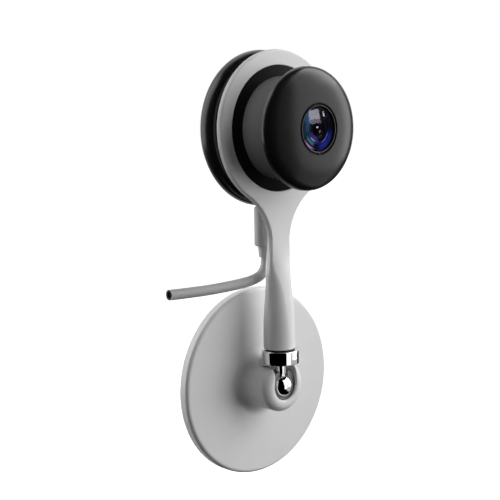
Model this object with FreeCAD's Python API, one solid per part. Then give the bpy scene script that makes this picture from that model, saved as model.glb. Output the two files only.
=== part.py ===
import FreeCAD, Part
import math
import os

os.makedirs("parts", exist_ok=True)

# Wall-mounted baby monitor camera, in millimetres.
# Origin: centre of the base's back face, which lies on the wall plane y = 0.
# +Z is up, the camera looks along -Y. The lens axis is parallel to Y, HEAD_Z above the origin.

V = FreeCAD.Vector
X_AXIS = V(1, 0, 0)
Y_AXIS = V(0, 1, 0)
Z_AXIS = V(0, 0, 1)

# ---------------------------------------------------------------- driving dimensions
BASE_R = 42.5            # base disc
BASE_FRONT = -5.2
BASE_BACK = -0.3         # the pad stands proud of the shell by this much
BASE_WALL = 1.6
BOSS_R = 11.6            # socket boss on the base disc
BOSS_FRONT = -22.4
BOSS_BORE = 7.3
MOUTH_R = 6.2            # also half the width of the slot above the mouth
MOUTH_LIP = 1.1
SLOT_BACK = -9.9         # the boss is open at the top as far back as the collar reaches

BALL_Y = -19.0           # ball centre, also the arm's own axis
BALL_R = 5.2
RUNNING_GAP = 0.05       # radial clearance of a running fit
LEAN_LIMIT = 15.0        # degrees that the ball's cup turns each way in the boss

STEM_R = 2.5
COLLAR_R = 8.35
COLLAR_Z = (10.4, 16.4)
PIN_R = 1.8
PIN_TOP = 29.4

ARM_BOTTOM = 17.0
ARM_END_R = 7.05
ARM_FRONT = -20.5
ARM_BACK = -18.0
NECK_HALF = 5.8          # half width of the flat neck under the ring
NECK_FLARE_R = 25.8      # radius of the flare from the neck into the ring
RING_R = 34.0
RING_HOLE = 27.2

HEAD_Z = 113.8
SHELL_R = 34.0           # rear shell
SHELL_BACK = -5.5
SHELL_STEP = -14.5
SHELL_NECK = 30.6
SHELL_FRONT = -17.5
FLANGE_R = 27.0          # barrel flange inside the arm's ring
BARREL_R = 22.4
BARREL_INNER = 20.2
CAP_R = 26.2             # front cap
CAP_REAR = -37.1
CAP_FRONT = -44.8        # crown of the cap's dome, before the lens opening is cut into it
CAP_FULLNESS = 2.5       # exponent of the dome, where 2 would be an ellipse
TRIM_R = 10.9            # lens trim ring
WINDOW_R = 9.4

PORT_Y = -10.5           # power socket and lead
PLUG_TOP = 79.5
PLUG_BOTTOM = 62.0
RELIEF_BOTTOM = 57.0
LEAD_R = 2.3

# Route of the lead's centre line, from the strain relief to its end socket.
LEAD_ROUTE = [
    (0.0, -10.5, 57.0),
    (0.0, -10.5, 54.0),
    (-1.15, -10.5, 51.23),
    (-3.27, -10.5, 49.11),
    (-6.04, -10.5, 47.96),
    (-11.5, -10.5, 46.95),
    (-20.0, -10.4, 46.4),
    (-31.0, -10.1, 46.0),
    (-40.5, -9.6, 45.95),
    (-49.0, -9.1, 46.1),
]
LEAD_END_LENGTH = 4.7


# ---------------------------------------------------------------- helpers
def along_y(radius, y_from, y_to, x=0.0, z=0.0):
    """A cylinder along Y between two y values."""
    low = min(y_from, y_to)
    high = max(y_from, y_to)
    return Part.makeCylinder(radius, high - low, V(x, low, z), Y_AXIS)


def along_z(radius, z_from, z_to, x=0.0, y=BALL_Y):
    """A cylinder along Z between two z values."""
    return Part.makeCylinder(radius, z_to - z_from, V(x, y, z_from), Z_AXIS)


def tube_y(outer, inner, y_from, y_to, z=0.0):
    """A tube along Y."""
    over = 1.0
    low = min(y_from, y_to) - over
    high = max(y_from, y_to) + over
    return along_y(outer, y_from, y_to, z=z).cut(along_y(inner, low, high, z=z))


def block(x_pair, y_pair, z_pair):
    """A box from its lowest to its highest corner."""
    size = [max(p) - min(p) for p in (x_pair, y_pair, z_pair)]
    corner = V(min(x_pair), min(y_pair), min(z_pair))
    return Part.makeBox(size[0], size[1], size[2], corner)


def quarter_oval(start, corner, end, fullness):
    """A quarter of a superellipse in the XY plane, from its widest point at start to its front at end."""
    steps = 24
    centre = start + end - corner
    points = [start]
    for step in range(1, steps):
        turn = math.pi / 2 * step / steps
        across = math.cos(turn) ** (2 / fullness)
        along = math.sin(turn) ** (2 / fullness)
        points.append(centre + (start - centre) * across + (end - centre) * along)
    points.append(end)
    curve = Part.BSplineCurve()
    curve.interpolate(Points=points, InitialTangent=corner - start, FinalTangent=end - corner)
    return curve.toShape()


def turned(points, centre_z):
    """A solid turned about the Y axis through (0, y, centre_z).

    points are (radius, y). A point given as (radius, y, "arc") is the middle of an arc from the point
    before it to the point after it. (radius, y, fullness) is the corner that a quarter of a superellipse
    rounds off between them.
    """
    places = [V(p[0], p[1], centre_z) for p in points]
    edges = []
    index = 0
    count = len(points)
    while index < count:
        start = places[index]
        following = points[(index + 1) % count]
        if len(following) == 3:
            middle = places[(index + 1) % count]
            end = places[(index + 2) % count]
            if following[2] == "arc":
                edges.append(Part.Arc(start, middle, end).toShape())
            else:
                edges.append(quarter_oval(start, middle, end, following[2]))
            index += 2
        else:
            edges.append(Part.LineSegment(start, places[(index + 1) % count]).toShape())
            index += 1
    face = Part.Face(Part.Wire(edges))
    return face.revolve(V(0, 0, centre_z), Y_AXIS, 360)


def arc_middle(centre, radius, angle):
    """The point of an arc at an angle in degrees, in (radius, y), marked as an arc's middle."""
    turn = math.radians(angle)
    return (centre[0] + radius * math.cos(turn), centre[1] + radius * math.sin(turn), "arc")


def round_circles(shape, radius, tests):
    """Rounds the circular edges that match one of the tests (circle radius, y or z of centre)."""
    close = 0.01
    chosen = []
    for edge in shape.Edges:
        curve = edge.Curve
        if not isinstance(curve, Part.Circle):
            continue
        for circle_r, place in tests:
            off = min(abs(curve.Center.y - place), abs(curve.Center.z - place))
            if abs(curve.Radius - circle_r) < close and off < close:
                chosen.append(edge)
                break
    return shape.makeFillet(radius, chosen)


def on_circle(radius, angle, centre_z=0.0):
    """(x, z) of a point on a circle about an axis along Y."""
    turn = math.radians(angle)
    return radius * math.cos(turn), centre_z + radius * math.sin(turn)


def group(solids):
    """Identical separate solids that share one node."""
    return Part.makeCompound(solids)


# ---------------------------------------------------------------- base
POST_RING = 31.0
POST_ANGLES = (30, 150, 270)
POST_R = 2.6
SCREW_R = 0.9
PLATE_BACK = -0.8
PLATE_FRONT = -1.9
BALLAST_FRONT = -3.5


def lean_relief(side):
    """What the collar sweeps off the top of the boss when the arm leans fully to one side."""
    space = along_z(COLLAR_R + 0.4, COLLAR_Z[0] - 0.3, COLLAR_Z[0] + 6.0)
    space.rotate(V(0, BALL_Y, 0), Y_AXIS, side * LEAN_LIMIT)
    return space


def base_shell():
    edge_round = 1.7
    foot_round = 4.5
    nose_round = 3.8
    mouth_round = 0.8
    slot_corner = 2.5
    disc = along_y(BASE_R, BASE_BACK, BASE_FRONT)
    disc = round_circles(disc, edge_round, [(BASE_R, BASE_FRONT)])
    boss = along_y(BOSS_R, BASE_FRONT + 1.0, BOSS_FRONT)
    shell = disc.fuse(boss)
    shell = round_circles(shell, foot_round, [(BOSS_R, BASE_FRONT)])
    shell = round_circles(shell, nose_round, [(BOSS_R, BOSS_FRONT)])
    cavity_front = BASE_FRONT + BASE_WALL
    shell = shell.cut(along_y(BASE_R - 2.1, 1.0, cavity_front))
    shell = shell.cut(along_y(BOSS_BORE, 1.0, BOSS_FRONT + MOUTH_LIP))
    shell = shell.cut(along_y(MOUTH_R, 1.0, BOSS_FRONT - 1.0))
    shell = round_circles(shell, mouth_round, [(MOUTH_R, BOSS_FRONT)])
    slot = block((-MOUTH_R, MOUTH_R), (BOSS_FRONT - 1.0, SLOT_BACK), (0.0, BOSS_R + 3.0))
    back_edges = [e for e in slot.Edges if e.BoundBox.ZLength > 5.0 and e.BoundBox.YMin > BALL_Y]
    slot = slot.makeFillet(slot_corner, back_edges)
    shell = shell.cut(slot)
    for side in (-1, 1):
        shell = shell.cut(lean_relief(side))
    for angle in POST_ANGLES:
        x, z = on_circle(POST_RING, angle)
        shell = shell.fuse(along_y(POST_R, PLATE_FRONT - 0.1, cavity_front - 0.2, x, z))
        shell = shell.cut(along_y(SCREW_R + RUNNING_GAP, 0.0, BASE_FRONT + 0.7, x, z))
    return shell


def ballast_plate():
    plate = tube_y(BASE_R - 3.0, 16.5, PLATE_FRONT - 0.1, BALLAST_FRONT)
    for angle in POST_ANGLES:
        x, z = on_circle(POST_RING, angle)
        plate = plate.cut(along_y(POST_R + 0.3, 0.0, BASE_FRONT, x, z))
    return plate


def back_plate():
    plate = along_y(BASE_R - 2.3, PLATE_BACK, PLATE_FRONT)
    for angle in POST_ANGLES:
        x, z = on_circle(POST_RING, angle)
        plate = plate.cut(along_y(SCREW_R + RUNNING_GAP, 1.0, BASE_FRONT, x, z))
        plate = plate.cut(along_y(2.1, 1.0, PLATE_BACK - 0.6, x, z))
    return plate


def adhesive_pad():
    pad_gap = 0.02
    return along_y(BASE_R - 3.5, 0.0, PLATE_BACK + pad_gap)


def base_screws():
    screws = []
    for angle in POST_ANGLES:
        x, z = on_circle(POST_RING, angle)
        head = along_y(2.0, PLATE_BACK, PLATE_BACK - 0.55, x, z)
        shank = along_y(SCREW_R, PLATE_BACK - 0.5, -4.3, x, z)
        cross = block((x - 1.0, x + 1.0), (PLATE_BACK, PLATE_BACK - 0.3), (z - 0.2, z + 0.2))
        screws.append(head.fuse(shank).cut(cross))
    return group(screws)


# ---------------------------------------------------------------- ball joint
CUP_FRONT = -20.6
CUP_BACK = -8.6
SHOE_R = 4.25
SHOE_BACK = -12.0
CAP_PLUG_FRONT = -6.8
CUP_SLOT = 2.8
BALL_FLAT = 4.75
SPIGOT_R = 1.25
SPIGOT_BOTTOM = 1.5


def ball_cavity():
    return Part.makeSphere(BALL_R + RUNNING_GAP, V(0, BALL_Y, 0))


def swivel_cup():
    cup = along_y(BOSS_BORE - RUNNING_GAP, CUP_FRONT, CUP_BACK)
    cup = cup.cut(ball_cavity())
    cup = cup.cut(along_y(SHOE_R + RUNNING_GAP, -15.6, CUP_BACK + 1.0))
    slot = block((-CUP_SLOT, CUP_SLOT), (CUP_FRONT - 1.0, BALL_Y), (0.0, BOSS_BORE + 1.0))
    slot_end = along_z(CUP_SLOT, 0.0, BOSS_BORE + 1.0)
    return cup.cut(slot).cut(slot_end)


def friction_shoe():
    shoe = along_y(SHOE_R, -15.4, SHOE_BACK)
    return shoe.cut(ball_cavity())


def pressure_spring():
    wire_r = 0.4
    coil_r = 3.0
    length = SHOE_BACK - CAP_PLUG_FRONT
    height = abs(length) - 2 * wire_r - 0.2
    helix = Part.makeHelix(height / 4.0, height, coil_r)
    section = Part.Wire(Part.Circle(V(coil_r, 0, 0), Y_AXIS, wire_r).toShape())
    coil = Part.Wire(helix.Edges).makePipeShell([section], True, True)
    coil.rotate(V(0, 0, 0), X_AXIS, -90)
    coil.translate(V(0, SHOE_BACK + wire_r + 0.1, 0))
    return coil


def spring_cap():
    cap_back = -4.2
    key_r = 2.6
    key_depth = 1.6
    cap = along_y(BOSS_BORE - 0.02, CAP_PLUG_FRONT, cap_back)
    corners = []
    for angle in range(0, 361, 60):
        x, z = on_circle(key_r, angle)
        corners.append(V(x, cap_back, z))
    key = Part.Face(Part.makePolygon(corners))
    return cap.cut(key.extrude(V(0, -key_depth, 0)))


def ball():
    """The ball, with a small flat on top and a blind hole for the stem's spigot."""
    sphere = Part.makeSphere(BALL_R, V(0, BALL_Y, 0))
    sphere = sphere.cut(along_z(BALL_R, BALL_FLAT, BALL_R + 1.0))
    return sphere.cut(along_z(SPIGOT_R, SPIGOT_BOTTOM, BALL_R + 1.0))


def stem():
    neck_r = 2.0
    neck_top = 5.6
    body = along_z(SPIGOT_R, SPIGOT_BOTTOM, neck_top)
    body = body.fuse(along_z(neck_r, BALL_FLAT, neck_top))
    body = body.fuse(along_z(STEM_R, neck_top, COLLAR_Z[1]))
    body = body.fuse(along_z(PIN_R, COLLAR_Z[1], PIN_TOP))
    return body.removeSplitter()


def collar():
    ring = along_z(COLLAR_R, COLLAR_Z[0], COLLAR_Z[1])
    ring = round_circles(ring, 0.35, [(COLLAR_R, COLLAR_Z[0]), (COLLAR_R, COLLAR_Z[1])])
    return ring.cut(along_z(STEM_R, COLLAR_Z[0] - 1.0, COLLAR_Z[1] + 1.0))


def retaining_clip():
    ring = along_z(2.9, 28.35, 29.0)
    return ring.cut(along_z(PIN_R, 28.0, 29.5))


# ---------------------------------------------------------------- arm
BUSH_R = 3.6
BUSH_TOP = 28.0
ARM_SECTIONS = [         # z, half width, half depth, y of the section's centre
    (ARM_BOTTOM, ARM_END_R, ARM_END_R, -18.4),
    (26.0, 7.0, 6.9, -18.4),
    (36.0, 6.8, 6.1, -18.5),
    (45.0, 6.4, 4.6, -18.6),
    (53.0, 6.05, 2.9, -18.75),
    (61.0, 5.85, 1.75, -18.95),
    (69.0, 5.8, 1.2, -19.25),
]


def neck_outline():
    """The flat neck and its flare, closed across the ring, as a face in the plane y = ARM_BACK."""
    flare_x = NECK_HALF + NECK_FLARE_R
    reach = RING_R + NECK_FLARE_R
    ring_drop = math.sqrt(reach ** 2 - flare_x ** 2)
    flare_z = HEAD_Z - ring_drop
    touch = RING_R / reach
    touch_x = flare_x * touch
    touch_z = HEAD_Z - ring_drop * touch
    start = math.radians(180)
    end = math.atan2(touch_z - flare_z, touch_x - flare_x)
    middle = (start + end) / 2
    middle_x = flare_x + NECK_FLARE_R * math.cos(middle)
    middle_z = flare_z + NECK_FLARE_R * math.sin(middle)
    foot_z = 50.0
    y = ARM_BACK
    right = [V(NECK_HALF, y, foot_z), V(NECK_HALF, y, flare_z)]
    edges = [
        Part.LineSegment(right[0], right[1]).toShape(),
        Part.Arc(right[1], V(middle_x, y, middle_z), V(touch_x, y, touch_z)).toShape(),
        Part.LineSegment(V(touch_x, y, touch_z), V(-touch_x, y, touch_z)).toShape(),
        Part.Arc(V(-touch_x, y, touch_z), V(-middle_x, y, middle_z), V(-NECK_HALF, y, flare_z)).toShape(),
        Part.LineSegment(V(-NECK_HALF, y, flare_z), V(-NECK_HALF, y, foot_z)).toShape(),
        Part.LineSegment(V(-NECK_HALF, y, foot_z), right[0]).toShape(),
    ]
    return Part.Face(Part.Wire(edges))


def arm():
    depth = ARM_FRONT - ARM_BACK
    plate = neck_outline().extrude(V(0, depth, 0))
    plate = plate.fuse(along_y(RING_R, ARM_BACK, ARM_FRONT, z=HEAD_Z))
    plate = plate.cut(along_y(RING_HOLE, ARM_BACK + 1.0, ARM_FRONT - 1.0, z=HEAD_Z))
    wires = []
    for z, half_x, half_y, centre_y in ARM_SECTIONS:
        if half_x == half_y:
            curve = Part.Circle(V(0, centre_y, z), Z_AXIS, half_x)
        else:
            curve = Part.Ellipse(V(0, centre_y, z), half_x, half_y)
        wires.append(Part.Wire(curve.toShape()))
    handle = Part.makeLoft(wires, True, False)
    body = plate.fuse(handle)
    body = body.cut(along_z(BUSH_R, ARM_BOTTOM - 1.0, BUSH_TOP))
    return body.cut(along_z(3.2, BUSH_TOP - 1.0, PIN_TOP + 0.6))


def pivot_bush():
    bush = along_z(BUSH_R, ARM_BOTTOM, BUSH_TOP)
    return bush.cut(along_z(PIN_R + RUNNING_GAP, ARM_BOTTOM - 1.0, BUSH_TOP + 1.0))


def pivot_washer():
    gap = 0.1
    ring = along_z(6.5, COLLAR_Z[1] + gap, ARM_BOTTOM - 0.02)
    return ring.cut(along_z(PIN_R + 0.3, COLLAR_Z[1] - 1.0, ARM_BOTTOM + 1.0))


# ---------------------------------------------------------------- head: shells
COVER_R = 29.2
COVER_INNER = -6.9
BUTTON_R = 2.0
BUTTON_DROP = 16.0
SPEAKER_RISE = 8.0
HEAD_SCREW_RING = 24.6
HEAD_SCREW_ANGLES = (90, 210, 330)


def rear_shell():
    back_round = 3.5
    step_depth = 5.0
    inner = 30.8
    inner_floor = -11.2
    floor_y = SHELL_FRONT + 1.9
    outline = [
        (COVER_R + 0.1, SHELL_BACK),
        (SHELL_R - back_round, SHELL_BACK),
        arc_middle((SHELL_R - back_round, SHELL_BACK - back_round), back_round, 45),
        (SHELL_R, SHELL_BACK - back_round),
        (SHELL_R, SHELL_STEP + step_depth),
        (SHELL_R, SHELL_STEP, 2.0),
        (SHELL_NECK, SHELL_STEP),
        (SHELL_NECK, SHELL_FRONT),
        (22.0, SHELL_FRONT),
        (22.0, floor_y),
        (SHELL_NECK - 1.8, floor_y),
        (SHELL_NECK - 1.8, inner_floor),
        (inner, inner_floor),
        (inner, COVER_INNER - 0.2),
        (COVER_R + 0.1, COVER_INNER - 0.2),
    ]
    shell = turned(outline, HEAD_Z)
    low = HEAD_Z - SHELL_R - 1.0
    shell = shell.cut(block((-4.0, 4.0), (PORT_Y - 1.65, PORT_Y + 1.65), (low, HEAD_Z - 25.0)))
    for angle in HEAD_SCREW_ANGLES:
        x, z = on_circle(HEAD_SCREW_RING, angle, HEAD_Z)
        shell = shell.cut(along_y(SCREW_R + 0.15, SHELL_FRONT - 1.0, SHELL_STEP, x, z))
    return shell


def rear_cover():
    cover = along_y(COVER_R, SHELL_BACK, COVER_INNER, z=HEAD_Z)
    cover = round_circles(cover, 0.5, [(COVER_R, SHELL_BACK)])
    pitch = 2.6
    hole_r = 0.7
    field_r = 8.2
    holes = []
    for row in range(-3, 4):
        for column in range(-3, 4):
            x = pitch * (column + 0.5 * (row % 2))
            rise = pitch * row * math.sqrt(3) / 2
            if math.hypot(x, rise) < field_r:
                z = HEAD_Z + SPEAKER_RISE + rise
                holes.append(along_y(hole_r, 0.0, COVER_INNER - 1.0, x, z))
    cover = cover.cut(group(holes))
    button_hole = along_y(BUTTON_R + 0.3, 0.0, COVER_INNER - 1.0, z=HEAD_Z - BUTTON_DROP)
    return cover.cut(button_hole)


def shell_gasket():
    return tube_y(SHELL_NECK - 0.4, RING_HOLE + 0.3, SHELL_FRONT - 0.02, ARM_BACK + 0.02, HEAD_Z)


def barrel():
    flange_edge = -20.2
    cone_front = -21.5
    barrel_front = -38.8
    outline = [
        (BARREL_INNER, SHELL_FRONT - 0.05),
        (FLANGE_R, SHELL_FRONT - 0.05),
        (FLANGE_R, flange_edge),
        (BARREL_R, cone_front),
        (BARREL_R, barrel_front),
        (BARREL_INNER, barrel_front),
    ]
    body = turned(outline, HEAD_Z)
    for angle in HEAD_SCREW_ANGLES:
        x, z = on_circle(HEAD_SCREW_RING, angle, HEAD_Z)
        body = body.cut(along_y(SCREW_R + RUNNING_GAP, SHELL_FRONT + 1.0, -19.6, x, z))
    return body


def front_cap():
    rear_round = 0.4
    wall = 1.8
    inner = BARREL_R + 0.1
    outline = [
        (inner, CAP_REAR),
        (CAP_R - rear_round, CAP_REAR),
        arc_middle((CAP_R - rear_round, CAP_REAR - rear_round), rear_round, 45),
        (CAP_R, CAP_REAR - rear_round),
        (CAP_R, CAP_FRONT, CAP_FULLNESS),
        (0.0, CAP_FRONT),
        (0.0, CAP_FRONT + wall),
        (14.0, CAP_FRONT + wall),
        (inner, -39.4),
    ]
    cap = turned(outline, HEAD_Z)
    cap = cap.cut(along_y(TRIM_R + 0.1, CAP_FRONT - 1.0, CAP_FRONT + 1.0, z=HEAD_Z))
    cap = cap.cut(along_y(WINDOW_R + 0.15, CAP_FRONT, CAP_FRONT + wall + 1.0, z=HEAD_Z))
    x, z = on_circle(LIGHT_RING, 270, HEAD_Z)
    return cap.cut(along_y(LIGHT_R + 0.05, CAP_REAR, CAP_FRONT - 1.0, x, z))


# ---------------------------------------------------------------- head: optics
LIGHT_R = 0.42
LIGHT_RING = 10.25


def lens_trim():
    front = CAP_FRONT + 0.3
    outline = [
        (WINDOW_R + 0.1, CAP_FRONT + 0.95),
        (TRIM_R, CAP_FRONT + 0.95),
        (TRIM_R, front + 0.35),
        arc_middle((TRIM_R - 0.35, front + 0.35), 0.35, -45),
        (TRIM_R - 0.35, front),
        (WINDOW_R + 0.5, front),
        (WINDOW_R + 0.1, front + 0.5),
    ]
    ring = turned(outline, HEAD_Z)
    x, z = on_circle(LIGHT_RING, 270, HEAD_Z)
    return ring.cut(along_y(LIGHT_R + 0.05, CAP_REAR, front - 1.0, x, z))


def lens_window():
    return convex_lens(WINDOW_R, -43.2, -44.2, -45.0)


def lens_hood():
    outline = [
        (WINDOW_R - 0.05, -43.1),
        (WINDOW_R - 0.05, -40.3),
        (7.1, -40.3),
        (7.1, -40.9),
        (7.7, -41.4),
        (7.7, -41.8),
        (8.3, -42.3),
        (8.3, -42.6),
        (8.8, -43.1),
    ]
    return turned(outline, HEAD_Z)


def lens_barrel():
    outline = [
        (3.2, -28.9),
        (7.0, -28.9),
        (7.0, -40.2),
        (6.5, -40.6),
        (6.0, -40.6),
        (5.6, -39.9),
        (5.6, -37.0),
        (5.0, -37.0),
        (2.2, -35.6),
        (2.2, -35.2),
        (4.6, -34.4),
        (4.6, -30.6),
        (3.2, -30.6),
    ]
    return turned(outline, HEAD_Z)


def convex_lens(radius, back, edge, crown):
    """A flat-backed lens on the lens axis: its rim ends at y = edge, its crown at y = crown."""
    rise = abs(crown - edge)
    sphere_r = (radius ** 2 + rise ** 2) / (2 * rise)
    dome = Part.makeSphere(sphere_r, V(0, crown + sphere_r, HEAD_Z))
    return along_y(radius, back, crown - 1.0, z=HEAD_Z).common(dome)


def front_lens():
    return convex_lens(5.55, -37.2, -38.5, -40.1)


def rear_lens():
    return convex_lens(4.5, -31.0, -32.8, -33.9)


HOLDER_X = (-7.4, 13.0)
HOLDER_HALF_Z = 7.0
HOLDER_BACK = -23.6
FILTER_TRAVEL = 6.2


def lens_holder():
    base = block(HOLDER_X, (HOLDER_BACK, -28.7), (HEAD_Z - HOLDER_HALF_Z, HEAD_Z + HOLDER_HALF_Z))
    tower = along_y(8.4, -28.0, -36.0, z=HEAD_Z)
    body = base.fuse(tower)
    pocket = block((-6.2, 11.8), (HOLDER_BACK + 1.0, -27.4), (HEAD_Z - 5.8, HEAD_Z + 5.8))
    body = body.cut(pocket)
    body = body.cut(along_y(3.6, -26.0, -29.5, z=HEAD_Z))
    return body.cut(along_y(7.05, -28.85, -37.0, z=HEAD_Z))


def filter_frame():
    frame = block((-4.2, 4.2), (-26.1, -26.9), (HEAD_Z - 4.2, HEAD_Z + 4.2))
    return frame.cut(block((-2.8, 2.8), (-25.0, -28.0), (HEAD_Z - 2.8, HEAD_Z + 2.8)))


def filter_glass():
    return block((-2.75, 2.75), (-26.2, -26.8), (HEAD_Z - 2.75, HEAD_Z + 2.75))


def filter_coil():
    """The small solenoid on the lens holder that throws the infrared filter."""
    core = Part.makeCylinder(0.8, 10.0, V(0.0, -30.6, HEAD_Z - 10.6), X_AXIS)
    winding = Part.makeCylinder(1.7, 7.0, V(1.5, -30.6, HEAD_Z - 10.6), X_AXIS)
    return core.fuse(winding)


def image_sensor():
    return block((-4.0, 4.0), (-23.55, -25.1), (HEAD_Z - 3.6, HEAD_Z + 3.6))


def sensor_board():
    board = along_y(BARREL_INNER - 0.3, -22.5, -23.5, z=HEAD_Z)
    for angle in (45, 225):
        x, z = on_circle(17.0, angle, HEAD_Z)
        board = board.cut(along_y(1.1, -22.0, -24.0, x, z))
    return board


LED_RING = 15.4
LED_COUNT = 8
LED_BOARD_Y = (-37.6, -38.4)


def ir_led_board():
    return tube_y(BARREL_INNER - 0.3, 8.7, LED_BOARD_Y[0], LED_BOARD_Y[1], HEAD_Z)


def ir_leds():
    lamps = []
    for number in range(LED_COUNT):
        x, z = on_circle(LED_RING, 360.0 / LED_COUNT * (number + 0.5), HEAD_Z)
        can = along_y(1.4, LED_BOARD_Y[1] - 0.02, -39.6, x, z)
        dome = Part.makeSphere(1.25, V(x, -39.6, z))
        lamps.append(can.fuse(dome))
    return group(lamps)


def light_pipe():
    x, z = on_circle(LIGHT_RING, 270, HEAD_Z)
    return along_y(LIGHT_R, LED_BOARD_Y[1] - 0.02, CAP_FRONT + 0.25, x, z)


def microphone():
    x, z = on_circle(LED_RING, 270, HEAD_Z)
    return along_y(2.0, LED_BOARD_Y[1] - 0.02, -39.9, x, z)


# ---------------------------------------------------------------- head: electronics
BOARD_R = 28.6


def main_board():
    board = along_y(BOARD_R, -12.05, -13.1, z=HEAD_Z)
    for angle in HEAD_SCREW_ANGLES:
        x, z = on_circle(HEAD_SCREW_RING, angle, HEAD_Z)
        board = board.cut(along_y(2.2, -11.0, -14.5, x, z))
    return board


def processor():
    return block((-6.0, 6.0), (-10.9, -12.0), (HEAD_Z, HEAD_Z + 12.0))


def heat_spreader():
    plate = block((-13.0, 13.0), (-9.8, -10.8), (HEAD_Z - 6.0, HEAD_Z + 20.0))
    edges = [e for e in plate.Edges if e.BoundBox.YLength > 0.5]
    return plate.makeFillet(3.0, edges)


def speaker():
    z = HEAD_Z + SPEAKER_RISE
    frame = along_y(11.0, COVER_INNER - 0.15, -8.5, z=z)
    frame = frame.cut(along_y(9.6, COVER_INNER, -7.8, z=z))
    cone = tube_y(9.6, 8.6, -7.4, -7.95, z)
    magnet = along_y(7.0, -8.4, -9.65, z=z)
    return frame.fuse(cone).fuse(magnet)


def wifi_antenna():
    return block((-10.0, 10.0), (-7.4, -11.0), (HEAD_Z + 26.4, HEAD_Z + 27.2))


def flex_cable():
    return block((-5.0, 5.0), (-13.15, -22.45), (HEAD_Z - 12.2, HEAD_Z - 11.9))


def usb_port():
    z_pair = (HEAD_Z - 32.4, HEAD_Z - 26.8)
    port = block((-3.85, 3.85), (PORT_Y - 1.5, PORT_Y + 1.45), z_pair)
    hollow = block((-3.525, 3.525), (PORT_Y - 1.0, PORT_Y + 1.0), (z_pair[0] - 1.0, z_pair[1] - 0.4))
    tongue = block((-2.6, 2.6), (PORT_Y - 0.3, PORT_Y + 0.3), (z_pair[0] + 1.2, z_pair[1]))
    return port.cut(hollow).fuse(tongue)


def button_switch():
    z = HEAD_Z - BUTTON_DROP
    body = block((-3.0, 3.0), (-9.4, -12.0), (z - 3.0, z + 3.0))
    return body.fuse(along_y(1.7, -9.5, -8.85, z=z))


def setup_button():
    z = HEAD_Z - BUTTON_DROP
    cap = along_y(BUTTON_R, SHELL_BACK + 0.3, -7.8, z=z)
    cap = round_circles(cap, 0.4, [(BUTTON_R, SHELL_BACK + 0.3)])
    return cap.fuse(along_y(3.2, -7.4, -8.1, z=z))


def head_screws():
    screws = []
    for angle in HEAD_SCREW_ANGLES:
        x, z = on_circle(HEAD_SCREW_RING, angle, HEAD_Z)
        head = along_y(1.8, SHELL_FRONT + 1.9, SHELL_FRONT + 3.2, x, z)
        shank = along_y(SCREW_R, SHELL_FRONT + 2.0, -19.3, x, z)
        screws.append(head.fuse(shank))
    return group(screws)


# ---------------------------------------------------------------- plug and lead
def plug_shell():
    shell = block((-3.425, 3.425), (PORT_Y - 0.9, PORT_Y + 0.9), (PLUG_TOP, HEAD_Z - 28.2))
    edges = [e for e in shell.Edges if e.BoundBox.ZLength > 5.0]
    shell = shell.makeFillet(0.4, edges)
    hollow = block((-3.1, 3.1), (PORT_Y - 0.6, PORT_Y + 0.6), (PLUG_TOP + 0.8, HEAD_Z))
    return shell.cut(hollow)


def plug_body():
    body = block((-5.5, 5.5), (PORT_Y - 3.6, PORT_Y + 3.6), (PLUG_BOTTOM, PLUG_TOP))
    upright = [e for e in body.Edges if e.BoundBox.ZLength > 5.0]
    body = body.makeFillet(3.4, upright)
    rims = [e for e in body.Edges if e.BoundBox.ZLength < 0.01]
    return body.makeFillet(0.8, rims)


def strain_relief():
    return Part.makeCone(3.2, 3.6, PLUG_BOTTOM - RELIEF_BOTTOM, V(0, PORT_Y, RELIEF_BOTTOM), Z_AXIS)


def lead_path():
    """Straight runs joined by tangent arcs, and the radius of each arc."""
    points = [V(*p) for p in LEAD_ROUTE]
    edges = []
    radii = []
    last = points[0]
    for before, corner, after in zip(points, points[1:], points[2:]):
        run_in = before - corner
        run_out = after - corner
        turn = math.pi - run_in.getAngle(run_out)
        shorter = min(run_in.Length, run_out.Length)
        radius = 0.45 * shorter / math.tan(turn / 2)
        radii.append(radius)
        unit_in = V(run_in)
        unit_in.normalize()
        unit_out = V(run_out)
        unit_out.normalize()
        start = corner + unit_in * (0.45 * shorter)
        end = corner + unit_out * (0.45 * shorter)
        inward = unit_in + unit_out
        inward.normalize()
        centre = corner + inward * (radius / math.cos(turn / 2))
        middle = centre - inward * radius
        edges.append(Part.LineSegment(last, start).toShape())
        edges.append(Part.Arc(start, middle, end).toShape())
        last = end
    edges.append(Part.LineSegment(last, points[-1]).toShape())
    return Part.Wire(edges), radii


def lead():
    path, radii = lead_path()
    section = Part.Wire(Part.Circle(V(*LEAD_ROUTE[0]), Z_AXIS, LEAD_R).toShape())
    tube = path.makePipeShell([section], True, True)
    expected = math.pi * LEAD_R ** 2 * path.Length
    print("lead: length %.1f mm, arc radii %s" % (path.Length, [round(r, 1) for r in radii]))
    print("lead: volume %.1f mm3, section times length %.1f mm3" % (tube.Volume, expected))
    return tube


def lead_end_axis():
    tail = V(*LEAD_ROUTE[-1]) - V(*LEAD_ROUTE[-2])
    tail.normalize()
    return V(*LEAD_ROUTE[-1]), tail


def lead_socket():
    """The moulded sleeve of the in-line socket at the lead's end."""
    start, tail = lead_end_axis()
    sleeve = Part.makeCylinder(LEAD_R, LEAD_END_LENGTH, start, tail)
    return sleeve.cut(Part.makeCylinder(LEAD_R - 0.3, LEAD_END_LENGTH, start + tail * 1.0, tail))


def lead_socket_insert():
    """The socket's black insulator with its centre pin, set a little inside the sleeve."""
    start, tail = lead_end_axis()
    outer = Part.makeCylinder(LEAD_R - 0.32, LEAD_END_LENGTH - 1.2, start + tail * 1.05, tail)
    well = Part.makeCylinder(1.25, 2.6, start + tail * (LEAD_END_LENGTH - 2.6), tail)
    pin = Part.makeCylinder(0.4, 3.2, start + tail * (LEAD_END_LENGTH - 3.6), tail)
    return outer.cut(well).fuse(pin)


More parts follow.
